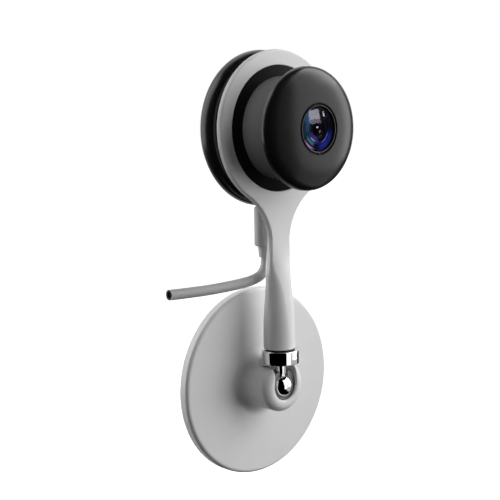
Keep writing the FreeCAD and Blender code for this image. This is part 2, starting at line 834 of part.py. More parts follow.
# ---------------------------------------------------------------- write every sub-part
NODES = {
    "base_shell": base_shell,
    "ballast_plate": ballast_plate,
    "back_plate": back_plate,
    "adhesive_pad": adhesive_pad,
    "base_screws": base_screws,
    "swivel_cup": swivel_cup,
    "friction_shoe": friction_shoe,
    "pressure_spring": pressure_spring,
    "spring_cap": spring_cap,
    "ball": ball,
    "stem": stem,
    "collar": collar,
    "retaining_clip": retaining_clip,
    "arm": arm,
    "pivot_bush": pivot_bush,
    "pivot_washer": pivot_washer,
    "rear_shell": rear_shell,
    "rear_cover": rear_cover,
    "shell_gasket": shell_gasket,
    "barrel": barrel,
    "front_cap": front_cap,
    "lens_trim": lens_trim,
    "lens_window": lens_window,
    "lens_hood": lens_hood,
    "lens_barrel": lens_barrel,
    "front_lens": front_lens,
    "rear_lens": rear_lens,
    "lens_holder": lens_holder,
    "filter_frame": filter_frame,
    "filter_glass": filter_glass,
    "filter_coil": filter_coil,
    "image_sensor": image_sensor,
    "sensor_board": sensor_board,
    "ir_led_board": ir_led_board,
    "ir_leds": ir_leds,
    "light_pipe": light_pipe,
    "microphone": microphone,
    "main_board": main_board,
    "processor": processor,
    "heat_spreader": heat_spreader,
    "speaker": speaker,
    "wifi_antenna": wifi_antenna,
    "flex_cable": flex_cable,
    "usb_port": usb_port,
    "button_switch": button_switch,
    "setup_button": setup_button,
    "head_screws": head_screws,
    "plug_shell": plug_shell,
    "plug_body": plug_body,
    "strain_relief": strain_relief,
    "lead": lead,
    "lead_socket": lead_socket,
    "lead_socket_insert": lead_socket_insert,
}

for name, build in NODES.items():
    shape = build()
    if not shape.isValid() or not shape.Solids:
        print("check the shape of", name)
    print("%-20s %d solid(s) %9.1f mm3" % (name, len(shape.Solids), shape.Volume))
    shape.exportStep("parts/%s.step" % name)
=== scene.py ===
"""Looks of the wall-mounted baby monitor camera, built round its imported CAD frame.

The frame is in metres, +Z up, with the wall plane at y = 0 and the lens looking along -Y.
Shapes are worked out in millimetres, as in the CAD, and MM turns them into metres.
"""
import math

import bmesh
import bpy
import numpy as np
from mathutils import Matrix, Vector


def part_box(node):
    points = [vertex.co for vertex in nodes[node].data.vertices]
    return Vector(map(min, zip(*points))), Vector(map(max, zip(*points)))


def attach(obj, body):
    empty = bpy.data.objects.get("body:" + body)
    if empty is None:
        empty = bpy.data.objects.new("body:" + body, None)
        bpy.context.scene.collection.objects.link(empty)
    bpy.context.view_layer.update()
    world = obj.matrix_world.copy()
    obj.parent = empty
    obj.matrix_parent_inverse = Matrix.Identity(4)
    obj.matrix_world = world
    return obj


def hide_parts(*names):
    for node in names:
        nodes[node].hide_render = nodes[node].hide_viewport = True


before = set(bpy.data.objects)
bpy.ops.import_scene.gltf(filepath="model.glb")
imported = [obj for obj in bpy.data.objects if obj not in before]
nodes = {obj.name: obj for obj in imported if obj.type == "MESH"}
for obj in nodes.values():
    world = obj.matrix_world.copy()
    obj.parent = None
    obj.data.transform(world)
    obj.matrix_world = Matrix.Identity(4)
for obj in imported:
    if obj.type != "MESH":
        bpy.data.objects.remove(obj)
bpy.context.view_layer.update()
scene = bpy.context.scene

MM = 0.001


def box_mm(node):
    """A CAD node's lowest and highest corner, in millimetres."""
    low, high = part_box(node)
    return low / MM, high / MM


arm_low, arm_high = box_mm("arm")
base_low, base_high = box_mm("base_shell")
ball_low, ball_high = box_mm("ball")
RING_R = (arm_high.x - arm_low.x) / 2
HEAD_Z = arm_high.z - RING_R                 # height of the lens axis
BALL_Y = (ball_low.y + ball_high.y) / 2      # depth of the ball and of the arm's own axis


# ---------------------------------------------------------------- camera
CAMERA_PLACE = Vector((-353.7, -395.6, 127.6))
YAW = math.radians(41.79)                    # from +Y towards +X
PITCH = math.radians(-7.354)                 # negative looks down
ROLL = math.radians(-0.958)                  # positive would lift the camera's right side


def make_camera():
    """The camera, at the photograph's viewing angle and distance."""
    ahead = Vector((math.sin(YAW) * math.cos(PITCH), math.cos(YAW) * math.cos(PITCH), math.sin(PITCH)))
    right = ahead.cross(Vector((0, 0, 1))).normalized()
    up = right.cross(ahead)
    tilted_right = math.cos(ROLL) * right + math.sin(ROLL) * up
    tilted_up = math.cos(ROLL) * up - math.sin(ROLL) * right
    lens = bpy.data.cameras.new("view")
    lens.lens = 85.5
    lens.sensor_width = 36.0
    lens.clip_start = 0.01
    lens.clip_end = 50.0
    camera = bpy.data.objects.new("view", lens)
    scene.collection.objects.link(camera)
    turn = Matrix((tilted_right, tilted_up, -ahead)).transposed().to_4x4()
    camera.matrix_world = Matrix.Translation(CAMERA_PLACE * MM) @ turn
    scene.camera = camera


make_camera()


# ---------------------------------------------------------------- material tools
class Shader:
    """A Principled material and short ways to add nodes to it."""

    def __init__(self, name):
        self.material = bpy.data.materials.new(name)
        self.material.use_nodes = True
        self.tree = self.material.node_tree
        self.surface = self.tree.nodes["Principled BSDF"]
        self.place = self.add("ShaderNodeTexCoord").outputs["Object"]

    def add(self, kind, **values):
        node = self.tree.nodes.new(kind)
        for key, value in values.items():
            setattr(node, key, value)
        return node

    def link(self, source, target):
        self.tree.links.new(source, target)

    def set(self, **values):
        """Sets the surface's sockets; underscores in a name stand for spaces."""
        for key, value in values.items():
            self.surface.inputs[key.replace("_", " ")].default_value = value

    def noise(self, size_mm, detail=3.0, roughness=0.5):
        """Noise with features of about this size."""
        node = self.add("ShaderNodeTexNoise")
        node.inputs["Scale"].default_value = 1.0 / (size_mm * MM)
        node.inputs["Detail"].default_value = detail
        node.inputs["Roughness"].default_value = roughness
        self.link(self.place, node.inputs["Vector"])
        return node.outputs["Fac"]

    def ramp(self, source, stops):
        """A colour ramp; stops are (position, colour)."""
        node = self.add("ShaderNodeValToRGB")
        elements = node.color_ramp.elements
        while len(elements) < len(stops):
            elements.new(0.5)
        for element, (position, colour) in zip(elements, stops):
            element.position = position
            element.color = colour
        self.link(source, node.inputs["Fac"])
        return node.outputs["Color"]

    def between(self, source, low, high):
        """Maps noise, which mostly lies between 0.3 and 0.7, to low..high."""
        node = self.add("ShaderNodeMapRange")
        node.inputs["From Min"].default_value = 0.3
        node.inputs["From Max"].default_value = 0.7
        node.inputs["To Min"].default_value = low
        node.inputs["To Max"].default_value = high
        self.link(source, node.inputs["Value"])
        return node.outputs["Result"]

    def bump(self, source, depth_mm, strength=1.0, after=None):
        """A bumped normal, on top of the one before it if there is one."""
        node = self.add("ShaderNodeBump")
        node.inputs["Distance"].default_value = depth_mm * MM
        node.inputs["Strength"].default_value = strength
        self.link(source, node.inputs["Height"])
        if after is not None:
            self.link(after, node.inputs["Normal"])
        return node.outputs["Normal"]

    def finish(self, normal=None):
        """The material, with this normal on its surface."""
        if normal is not None:
            self.link(normal, self.surface.inputs["Normal"])
        return self.material


def grey(level):
    """An opaque grey; 0 is black and 1 is white."""
    return (level, level, level, 1.0)


def moulded(name, colour, roughness, grain_mm=0.12, grain_depth=0.006, mottle=0.015, **surface):
    """Moulded plastic: fine spark-eroded grain, faint flow mottling and uneven gloss."""
    shader = Shader(name)
    darker = tuple(channel * (1 - mottle) for channel in colour[:3]) + (1.0,)
    lighter = tuple(min(1.0, channel * (1 + mottle)) for channel in colour[:3]) + (1.0,)
    cloud = shader.ramp(shader.noise(9.0, detail=4.0), [(0.3, darker), (0.7, lighter)])
    shader.link(cloud, shader.surface.inputs["Base Color"])
    patches = shader.noise(3.5, detail=5.0, roughness=0.6)
    gloss = shader.between(patches, roughness * 0.88, roughness * 1.12)
    shader.link(gloss, shader.surface.inputs["Roughness"])
    grain = shader.bump(shader.noise(grain_mm, detail=2.0), grain_depth, 0.5)
    waves = shader.bump(shader.noise(6.0, detail=1.0), 0.01, 0.3, after=grain)
    shader.set(**surface)
    return shader.finish(waves)


def metal(name, colour, roughness, scratch_mm=0.25, scratch_depth=0.002):
    """Plated or drawn metal: hazy patches, hairline scratches along one way and slight waviness."""
    shader = Shader(name)
    shader.set(Metallic=1.0)
    tint = tuple(channel * 0.94 for channel in colour[:3]) + (1.0,)
    cloud = shader.ramp(shader.noise(4.0), [(0.35, tint), (0.65, colour)])
    shader.link(cloud, shader.surface.inputs["Base Color"])
    haze = shader.noise(1.6, detail=6.0, roughness=0.65)
    gloss = shader.between(haze, roughness * 0.6, roughness * 1.5)
    shader.link(gloss, shader.surface.inputs["Roughness"])
    stretch = shader.add("ShaderNodeMapping")
    stretch.inputs["Scale"].default_value = (1.0, 1.0, 12.0)
    shader.link(shader.place, stretch.inputs["Vector"])
    lines = shader.add("ShaderNodeTexNoise")
    lines.inputs["Scale"].default_value = 1.0 / (scratch_mm * MM)
    shader.link(stretch.outputs["Vector"], lines.inputs["Vector"])
    return shader.finish(shader.bump(lines.outputs["Fac"], scratch_depth, 0.25))


# ---------------------------------------------------------------- materials
WHITE = moulded("white_plastic", grey(0.80), 0.36, IOR=1.47)
LEAD_GREY = moulded("lead_jacket", grey(0.46), 0.45, grain_mm=0.2)
BLACK = moulded("black_plastic", grey(0.010), 0.24, grain_mm=0.2, grain_depth=0.0015, mottle=0.1)


FLANGE_FRONT = -21.5                         # the barrel is black behind this and grey in front of it


def make_barrel_material():
    """Dark grey satin paint on the barrel, and near black on its flange."""
    shader = Shader("barrel_paint")
    split = shader.add("ShaderNodeSeparateXYZ")
    shader.link(shader.place, split.inputs["Vector"])
    edge = shader.add("ShaderNodeMapRange")
    edge.inputs["From Min"].default_value = (FLANGE_FRONT - 0.1) * MM
    edge.inputs["From Max"].default_value = FLANGE_FRONT * MM
    edge.inputs["To Min"].default_value = 1.0
    edge.inputs["To Max"].default_value = 0.0
    shader.link(split.outputs["Y"], edge.inputs["Value"])
    shader.link(shader.ramp(edge.outputs["Result"], [(0.0, grey(0.004)), (1.0, grey(0.085))]),
                shader.surface.inputs["Base Color"])
    shader.set(Specular_IOR_Level=0.06)
    flakes = shader.noise(0.5, detail=6.0, roughness=0.7)
    shader.link(shader.between(flakes, 0.30, 0.38), shader.surface.inputs["Roughness"])
    return shader.finish(shader.bump(shader.noise(0.12), 0.004, 0.4))


BARREL_GREY = make_barrel_material()
GLOSS_BLACK = moulded("gloss_black", grey(0.008), 0.12, grain_depth=0.002)
CHROME = metal("chrome", (0.93, 0.93, 0.94, 1.0), 0.05)
STEEL = metal("steel", (0.62, 0.62, 0.64, 1.0), 0.28)
BRASS = metal("brass", (0.78, 0.58, 0.27, 1.0), 0.24)
CUP_GREY = moulded("cup_grey", grey(0.22), 0.4)
PLATE_GREY = moulded("plate_grey", grey(0.35), 0.5, grain_mm=0.4, grain_depth=0.02)
FOAM = moulded("foam_black", grey(0.02), 0.9, grain_mm=0.5, grain_depth=0.1)
BOARD = moulded("board_green", (0.02, 0.12, 0.05, 1.0), 0.4)
COMPONENT = moulded("component_black", grey(0.02), 0.5)
SOCKET = moulded("socket_black", grey(0.004), 0.5, Specular_IOR_Level=0.15)
CLEAR = moulded("lamp_clear", grey(0.5), 0.15)
SLOTS = {
    "white_shell": WHITE, "black_shell": BLACK, "grey_barrel": BARREL_GREY, "black_trim": GLOSS_BLACK,
    "chrome": CHROME, "lens_glass": GLOSS_BLACK, "cup_grey": CUP_GREY, "steel": STEEL, "brass": BRASS,
    "plate_grey": PLATE_GREY, "foam_black": FOAM, "board_green": BOARD, "component_black": COMPONENT,
    "led_clear": CLEAR, "heat_plate": STEEL, "lead_grey": LEAD_GREY, "socket_black": SOCKET,
}


def paint(obj, material):
    """Gives an object this one material."""
    obj.data.materials.clear()
    obj.data.materials.append(material)


for obj in nodes.values():
    paint(obj, SLOTS[obj.data.materials[0].name])


# ---------------------------------------------------------------- mesh tools
def blend_round(a, b, radius):
    """Union of two distances, with a fillet of this radius where they meet."""
    gap_a = np.maximum(radius - a, 0.0)
    gap_b = np.maximum(radius - b, 0.0)
    return np.maximum(radius, np.minimum(a, b)) - np.hypot(gap_a, gap_b)


def cut_round(a, b, radius):
    """What lies inside both distances, with its edge rounded to this radius."""
    return -blend_round(-a, -b, radius)


def skin(name, distance, low, high, cell, material):
    """A smooth mesh of the surface where distance(x, y, z) is zero, inside a box, in millimetres.

    The box is filled with cells. Each cell that the surface passes through gets one point, which then
    moves onto the surface, and points of neighbouring cells are joined by four-sided faces.
    """
    cell = np.array(cell)
    axes = [np.arange(a, b + size, size) for a, b, size in zip(low, high, cell)]
    field = distance(*np.meshgrid(*axes, indexing="ij"))
    inside = field < 0
    cells = tuple(size - 1 for size in field.shape)
    total = np.zeros(cells + (3,))
    hits = np.zeros(cells)
    crossings = []
    for axis in range(3):
        ahead = [slice(None)] * 3
        behind = [slice(None)] * 3
        ahead[axis] = slice(1, None)
        behind[axis] = slice(None, -1)
        place = np.argwhere(inside[tuple(ahead)] != inside[tuple(behind)])
        step = np.zeros(3, int)
        step[axis] = 1
        near = field[tuple(place.T)]
        far = field[tuple((place + step).T)]
        share = near / (near - far)
        point = place + step * share[:, None]
        one, two = [k for k in range(3) if k != axis]
        quad = []
        for along_one, along_two in ((-1, -1), (0, -1), (0, 0), (-1, 0)):
            corner = place.copy()
            corner[:, one] += along_one
            corner[:, two] += along_two
            np.add.at(total, tuple(corner.T), point)
            np.add.at(hits, tuple(corner.T), 1)
            quad.append(corner)
        crossings.append((axis, near < 0, quad))
    index = np.full(cells, -1)
    used = hits > 0
    index[used] = np.arange(used.sum())
    points = np.array(low) + total[used] / hits[used][:, None] * cell
    nudge = 0.008                            # half the step over which the slope is measured
    reach = cell.min() / 2                   # how far a point may move in one pass
    least_steep = 0.25                       # flatter places count as this, so that no point flies off
    for _ in range(5):
        value = distance(*points.T)
        slope = np.stack([
            (distance(*(points + step).T) - distance(*(points - step).T)) / (2 * nudge)
            for step in np.eye(3) * nudge
        ], axis=1)
        steep = np.maximum((slope ** 2).sum(1), least_steep)
        points -= slope * np.clip(value / steep, -reach, reach)[:, None]
    faces = []
    for axis, starts_inside, quad in crossings:
        corners = np.stack([index[tuple(corner.T)] for corner in quad], axis=1)
        flip = starts_inside if axis == 1 else ~starts_inside
        corners[flip] = corners[flip][:, ::-1]
        faces.append(corners)
    mesh = bpy.data.meshes.new(name)
    mesh.from_pydata((points * MM).tolist(), [], np.concatenate(faces).tolist())
    mesh.polygons.foreach_set("use_smooth", np.ones(len(mesh.polygons), bool))
    normals = slope / np.linalg.norm(slope, axis=1)[:, None]
    mesh.normals_split_custom_set_from_vertices(normals.tolist())
    obj = bpy.data.objects.new(name, mesh)
    scene.collection.objects.link(obj)
    paint(obj, material)
    return obj


def swept(heights, values, z):
    """A smooth curve through (height, value) pairs, level at both ends."""
    heights = np.array(heights)
    values = np.array(values)
    slopes = np.gradient(values, heights)
    slopes[0] = slopes[-1] = 0.0
    z = np.clip(z, heights[0], heights[-1])
    k = np.clip(np.searchsorted(heights, z) - 1, 0, len(heights) - 2)
    span = heights[k + 1] - heights[k]
    t = (z - heights[k]) / span
    return ((2 * t ** 3 - 3 * t ** 2 + 1) * values[k] + (t ** 3 - 2 * t ** 2 + t) * span * slopes[k]
            + (3 * t ** 2 - 2 * t ** 3) * values[k + 1] + (t ** 3 - t ** 2) * span * slopes[k + 1])


# ---------------------------------------------------------------- lead
LEAD_ROUTE = [
    (0.0, -10.5, 57.0),
    (0.0, -10.5, 54.0),
    (-1.15, -10.5, 51.23),
    (-3.27, -10.5, 49.11),
    (-6.04, -10.5, 47.96),
    (-11.5, -10.5, 46.95),
    (-20.0, -10.4, 46.4),
    (-31.0, -10.1, 46.0),
    (-40.5, -9.6, 45.95),
    (-49.0, -9.1, 46.1),
]
LEAD_R = 2.3


def make_lead():
    """The visible lead, one smooth cord through the route's points."""
    curve = bpy.data.curves.new("lead_cord", "CURVE")
    curve.dimensions = "3D"
    curve.bevel_depth = LEAD_R * MM
    curve.bevel_resolution = 10
    curve.use_fill_caps = True
    spline = curve.splines.new("NURBS")
    spline.points.add(len(LEAD_ROUTE) - 1)
    for point, place in zip(spline.points, LEAD_ROUTE):
        point.co = (*(Vector(place) * MM), 1.0)
    spline.order_u = 3
    spline.use_endpoint_u = True
    spline.resolution_u = 16
    cord = bpy.data.objects.new("lead_cord", curve)
    scene.collection.objects.link(cord)
    paint(cord, LEAD_GREY)
    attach(cord, "power_lead")
    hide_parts("lead")


make_lead()


# ---------------------------------------------------------------- arm
NECK_HALF = 5.8
FLARE_R = 25.8
RING_HOLE = 27.2
PLATE_FRONT, PLATE_BACK = -20.5, -18.0
EDGE_ROUND = 0.4
BACK_ROUND = 0.9
HOLE_ROUND = 0.35
FOOT_ROUND = 0.35
PLATE_BOTTOM = 66.0                          # the plate overlaps the handle from here
HANDLE_TOP = 70.0                            # to here
RING_DRAFT = 0.25
RING_DRAFT_HEIGHTS = (72.0, 88.0)            # the neck's draft turns into the ring's between these
HEIGHTS = (17.0, 26.0, 36.0, 45.0, 53.0, 61.0, 69.0)
HALF_WIDTHS = (7.05, 7.0, 6.8, 6.4, 6.05, 5.85, NECK_HALF)
HALF_DEPTHS = (7.05, 6.9, 6.1, 4.6, 2.9, 1.75, 1.25)
CORNERS = (7.05, 6.9, 6.1, 4.6, 1.5, 0.5, EDGE_ROUND)
BOWS = (0.0, 0.0, 0.2, 0.9, 1.3, 0.35, 0.0)             # how far the front curves back at its sides
MIDDLES = (-18.35, -18.4, -18.5, -18.6, -18.75, -18.95, -19.25)
DRAFTS = (0.0, 0.0, 0.0, 0.0, 0.1, 0.26, 0.35)          # how fast the sides lean in towards the front
DRAFT_STARTS = (-19.5, -19.5, -19.5, -19.5, -19.5, -19.0, -18.5)


def arm_outline(x, z):
    """Distance to the outline of the ring and its flared neck, seen from the front."""
    side = np.abs(x)
    flare_x = NECK_HALF + FLARE_R
    reach = RING_R + FLARE_R
    drop = math.sqrt(reach ** 2 - flare_x ** 2)
    across = side - flare_x
    above = z - (HEAD_Z - drop)
    ring = np.hypot(x, z - HEAD_Z) - RING_R
    neck = np.where(z < HEAD_Z, side - NECK_HALF, ring)
    in_flare = (above > 0) & (-flare_x * above - drop * across > 0)
    return np.where(in_flare, FLARE_R - np.hypot(across, above), np.minimum(ring, neck))


def arm_distance(x, y, z):
    """Distance to the arm: a flat plate of ring and neck, and a handle that gets round towards its foot."""
    draft = np.interp(z, RING_DRAFT_HEIGHTS, (DRAFTS[-1], RING_DRAFT))
    lean = draft * np.maximum(DRAFT_STARTS[-1] - y, 0)
    plate = cut_round(arm_outline(x, z) + lean, PLATE_FRONT - y, EDGE_ROUND)
    plate = cut_round(plate, y - PLATE_BACK, BACK_ROUND)
    plate = cut_round(plate, RING_HOLE - np.hypot(x, z - HEAD_Z), HOLE_ROUND)
    plate = np.maximum(plate, PLATE_BOTTOM - z)
    corner = swept(HEIGHTS, CORNERS, z)
    draft = swept(HEIGHTS, DRAFTS, z) * np.maximum(swept(HEIGHTS, DRAFT_STARTS, z) - y, 0)
    half_x = swept(HEIGHTS, HALF_WIDTHS, z)
    middle = swept(HEIGHTS, MIDDLES, z)
    bow = np.where(y < middle, swept(HEIGHTS, BOWS, z) * (x / half_x) ** 2, 0.0)
    over_x = np.abs(x) + draft - (half_x - corner)
    over_y = np.abs(y - middle) + bow - (swept(HEIGHTS, HALF_DEPTHS, z) - corner)
    handle = (np.hypot(np.maximum(over_x, 0), np.maximum(over_y, 0))
              + np.minimum(np.maximum(over_x, over_y), 0) - corner)
    handle = cut_round(handle, arm_low.z - z, FOOT_ROUND)
    handle = np.maximum(handle, z - HANDLE_TOP)
    return np.minimum(plate, handle)


def make_arm():
    """The white arm, one smooth moulding from its round foot to the ring."""
    arm = skin("arm_moulding", arm_distance, low=(-35.1, -26.4, 16.4), high=(35.1, -10.3, 148.9),
               cell=(0.4, 0.26, 0.4), material=WHITE)
    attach(arm, "head")
    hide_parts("arm")


make_arm()


# ---------------------------------------------------------------- base
BASE_R = base_high.x
BOSS_R = 11.6
MOUTH_R = 6.2
BOSS_BORE = 7.3
LEAN_LIMIT = math.radians(15.0)
RELIEF_R = 8.75                              # the collar and a little room
RELIEF_BOTTOM = 10.1
DISC_FRONT = -5.2
DISC_ROUND = 1.7
BOSS_BACK = -3.0                             # the boss ends here, inside the disc
BOSS_ROUND = 3.8
BOSS_FILLET = 4.5
MOUTH_ROUND = 1.1
MOUTH_LIP = 1.1                              # thickness of the boss in front of its bore
SLOT_BACK = -9.9
SLOT_CORNER = 2.5
SLOT_ROUND = 0.9
RELIEF_ROUND = 0.4
RIM_WALL = 2.1
CAVITY_FRONT = -3.6
BASE_BACK = -0.3                             # the pad behind the base fills the rest


def lean_relief(x, y, z, turn):
    """Distance to the space that the collar sweeps when the arm leans by this turn."""
    across = x * math.cos(turn) - z * math.sin(turn)
    up = z * math.cos(turn) + x * math.sin(turn)
    return np.maximum(np.hypot(across, y - BALL_Y) - RELIEF_R, RELIEF_BOTTOM - up)


def base_distance(x, y, z):
    """Distance to the disc with its boss, hollowed from behind and slotted at the top for the stem."""
    radius = np.hypot(x, z)
    disc = cut_round(radius - BASE_R, DISC_FRONT - y, DISC_ROUND)
    disc = np.maximum(disc, y - BASE_BACK)
    boss = cut_round(radius - BOSS_R, base_low.y - y, BOSS_ROUND)
    boss = np.maximum(boss, y - BOSS_BACK)
    body = blend_round(disc, boss, BOSS_FILLET)
    body = cut_round(body, MOUTH_R - radius, MOUTH_ROUND)
    bore = np.maximum(radius - BOSS_BORE, base_low.y + MOUTH_LIP - y)
    body = np.maximum(body, -bore)
    over_x = np.abs(x) - (MOUTH_R - SLOT_CORNER)
    over_y = y - SLOT_BACK + SLOT_CORNER
    slot = (np.hypot(np.maximum(over_x, 0), np.maximum(over_y, 0))
            + np.minimum(np.maximum(over_x, over_y), 0) - SLOT_CORNER)
    slot = np.maximum(slot, -z)
    body = cut_round(body, -slot, SLOT_ROUND)
    for turn in (-LEAN_LIMIT, LEAN_LIMIT):
        body = cut_round(body, -lean_relief(x, y, z, turn), RELIEF_ROUND)
    cavity = np.maximum(radius - (BASE_R - RIM_WALL), CAVITY_FRONT - y)
    return np.maximum(body, -cavity)


def make_base():
    """The white disc and its socket boss, one smooth moulding."""
    base = skin("base_moulding", base_distance, low=(-43.1, -23.0, -43.1), high=(43.1, 0.3, 43.1),
                cell=(0.4, 0.35, 0.4), material=WHITE)
    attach(base, "base")
    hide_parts("base_shell")


make_base()


# ---------------------------------------------------------------- lens
GLASS_R = 9.35
CRISP_EDGE = math.radians(28)                # turned pieces keep edges that bend by more than this sharp
COATING_RINGS = 8.5                          # fine dark rings between the axis and the glass's edge


def on_lens_axis(radius, angle, y):
    """A point in metres, at this radius and angle round the lens axis."""
    return (radius * math.cos(angle) * MM, y * MM, (HEAD_Z + radius * math.sin(angle)) * MM)


def on_stud_axis(radius, angle, z):
    """A point in metres, at this radius and angle round the arm's own axis."""
    return (radius * math.cos(angle) * MM, (BALL_Y + radius * math.sin(angle)) * MM, z * MM)


def lathe(name, profile, material, closed=True, turns=192, place=on_lens_axis, body="head"):
    """Turns (radius, distance along the axis) points; a radius of 0 is a single point on the axis."""
    points, faces, rings = [], [], []
    for radius, along in profile:
        if radius == 0:
            rings.append([len(points)] * turns)
            points.append(place(0.0, 0.0, along))
            continue
        rings.append(list(range(len(points), len(points) + turns)))
        for k in range(turns):
            points.append(place(radius, 2 * math.pi * k / turns, along))
    pairs = list(zip(rings, rings[1:]))
    if closed and profile[0][0] > 0 and profile[-1][0] > 0:
        pairs.append((rings[-1], rings[0]))
    for one, two in pairs:
        for k in range(turns):
            after = (k + 1) % turns
            corners = [one[k], one[after], two[after], two[k]]
            faces.append(list(dict.fromkeys(corners)))
    mesh = bpy.data.meshes.new(name)
    mesh.from_pydata(points, [], faces)
    shape = bmesh.new()
    shape.from_mesh(mesh)
    bmesh.ops.recalc_face_normals(shape, faces=shape.faces)
    shape.to_mesh(mesh)
    shape.free()
    mesh.polygons.foreach_set("use_smooth", np.ones(len(mesh.polygons), bool))
    mesh.set_sharp_from_angle(angle=CRISP_EDGE)
    obj = bpy.data.objects.new(name, mesh)
    scene.collection.objects.link(obj)
    paint(obj, material)
    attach(obj, body)
    return obj


def dome(radius, edge, crown, steps=24):
    """Points of a shallow spherical dome, from its crown on the axis out to its edge."""
    rise = abs(crown - edge)
    curve = (radius ** 2 + rise ** 2) / (2 * rise)
    rows = [radius * k / steps for k in range(steps + 1)]
    return [(r, crown + curve - math.sqrt(curve ** 2 - r ** 2)) for r in rows]


# Arcs of painted reflection in the lens, the coloured glints of its coating: inner and outer radius as
# shares of the glass's radius, direction of the middle in degrees from +X towards +Z, half width in degrees,
# and colour.
PAINTED_REFLECTION_ARCS = [
    (0.52, 0.98, 156, 36, (0.03, 0.14, 0.27)),
    (0.74, 0.94, 180, 20, (0.02, 0.05, 0.12)),
    (0.36, 0.64, 236, 30, (0.09, 0.06, 0.34)),
    (0.52, 0.61, 236, 12, (0.30, 0.46, 0.95)),
    (0.67, 0.79, 228, 19, (0.02, 0.36, 0.27)),
    (0.71, 0.75, 229, 14, (0.22, 0.80, 0.55)),
    (0.87, 0.98, 233, 17, (0.50, 0.12, 0.55)),
    (0.90, 0.95, 234, 10, (0.90, 0.48, 0.92)),
    (0.62, 0.97, 313, 34, (0.012, 0.018, 0.22)),
    (0.74, 0.93, 313, 26, (0.02, 0.04, 0.50)),
    (0.64, 0.67, 318, 20, (0.30, 0.40, 0.58)),
    (0.13, 0.23, 320, 16, (0.70, 0.44, 0.10)),
]


def glass_with_painted_reflections(name, **surface):
    """Near black glass with painted reflections: arcs of colour that stand for the glints of its coating."""
    shader = Shader(name)
    centre = shader.add("ShaderNodeVectorMath", operation="SUBTRACT")
    shader.link(shader.place, centre.inputs[0])
    centre.inputs[1].default_value = (0.0, 0.0, HEAD_Z * MM)
    flat = shader.add("ShaderNodeVectorMath", operation="MULTIPLY")
    shader.link(centre.outputs["Vector"], flat.inputs[0])
    share = 1 / (GLASS_R * MM)               # turns metres into shares of the glass's radius
    flat.inputs[1].default_value = (share, 0.0, share)
    length = shader.add("ShaderNodeVectorMath", operation="LENGTH")
    shader.link(flat.outputs["Vector"], length.inputs[0])
    unit = shader.add("ShaderNodeVectorMath", operation="NORMALIZE")
    shader.link(flat.outputs["Vector"], unit.inputs[0])

    def step(value, low, high):
        node = shader.add("ShaderNodeMapRange", interpolation_type="SMOOTHSTEP")
        node.inputs["From Min"].default_value = low
        node.inputs["From Max"].default_value = high
        shader.link(value, node.inputs["Value"])
        return node.outputs["Result"]

    def times(a, b):
        node = shader.add("ShaderNodeMath", operation="MULTIPLY")
        shader.link(a, node.inputs[0])
        shader.link(b, node.inputs[1])
        return node.outputs["Value"]

    colour = shader.ramp(shader.noise(2.0),
                         [(0.3, (0.004, 0.004, 0.010, 1.0)), (0.7, (0.008, 0.007, 0.018, 1.0))])
    # Each arc is a painted reflection: a glint of the coating's colour laid into the base colour.
    for inner, outer, middle, half, tint in PAINTED_REFLECTION_ARCS:
        toward = shader.add("ShaderNodeVectorMath", operation="DOT_PRODUCT")
        shader.link(unit.outputs["Vector"], toward.inputs[0])
        turn = math.radians(middle)
        toward.inputs[1].default_value = (math.cos(turn), 0.0, math.sin(turn))
        blur = half * 0.55
        spread = step(toward.outputs["Value"], math.cos(math.radians(half + blur)),
                      math.cos(math.radians(half - blur)))
        soft = 0.015 + (outer - inner) * 0.22
        band = times(step(length.outputs["Value"], inner - soft, inner + soft),
                     step(length.outputs["Value"], outer + soft, outer - soft))
        mix = shader.add("ShaderNodeMix", data_type="RGBA")
        shader.link(times(spread, band), mix.inputs["Factor"])
        shader.link(colour, mix.inputs["A"])
        mix.inputs["B"].default_value = tint + (1.0,)
        colour = mix.outputs["Result"]
    turns = shader.add("ShaderNodeMath", operation="MULTIPLY")
    shader.link(length.outputs["Value"], turns.inputs[0])
    turns.inputs[1].default_value = 2 * math.pi * COATING_RINGS
    wave = shader.add("ShaderNodeMath", operation="SINE")
    shader.link(turns.outputs["Value"], wave.inputs[0])
    rings = shader.add("ShaderNodeMix", data_type="RGBA", blend_type="MULTIPLY")
    shader.link(step(wave.outputs["Value"], 0.1, 0.9), rings.inputs["Factor"])
    shader.link(colour, rings.inputs["A"])
    rings.inputs["B"].default_value = grey(0.4)
    shader.link(rings.outputs["Result"], shader.surface.inputs["Base Color"])
    shader.set(**surface)
    return shader.finish(shader.bump(shader.noise(0.8), 0.002, 0.2))


def glass_material():
    """Thin clear glass: see-through, with the faint lavender reflection of its coating."""
    shader = Shader("front_glass")
    shader.set(Metallic=1.0, Roughness=0.02)
    tint = shader.ramp(shader.noise(2.5), [(0.3, (0.80, 0.72, 0.88, 1.0)), (0.7, (0.90, 0.86, 0.92, 1.0))])
    shader.link(tint, shader.surface.inputs["Base Color"])
    clear = shader.add("ShaderNodeBsdfTransparent")
    clear.inputs["Color"].default_value = (0.93, 0.94, 0.97, 1.0)
    fresnel = shader.add("ShaderNodeFresnel")
    fresnel.inputs["IOR"].default_value = 1.5
    side = shader.add("ShaderNodeNewGeometry")
    front = shader.add("ShaderNodeMath", operation="SUBTRACT", use_clamp=True)
    shader.link(fresnel.outputs["Fac"], front.inputs[0])
    shader.link(side.outputs["Backfacing"], front.inputs[1])
    mix = shader.add("ShaderNodeMixShader")
    shader.link(front.outputs["Value"], mix.inputs["Fac"])
    shader.link(clear.outputs["BSDF"], mix.inputs[1])
    shader.link(shader.surface.outputs["BSDF"], mix.inputs[2])
    shader.link(mix.outputs["Shader"], shader.tree.nodes["Material Output"].inputs["Surface"])
    return shader.material


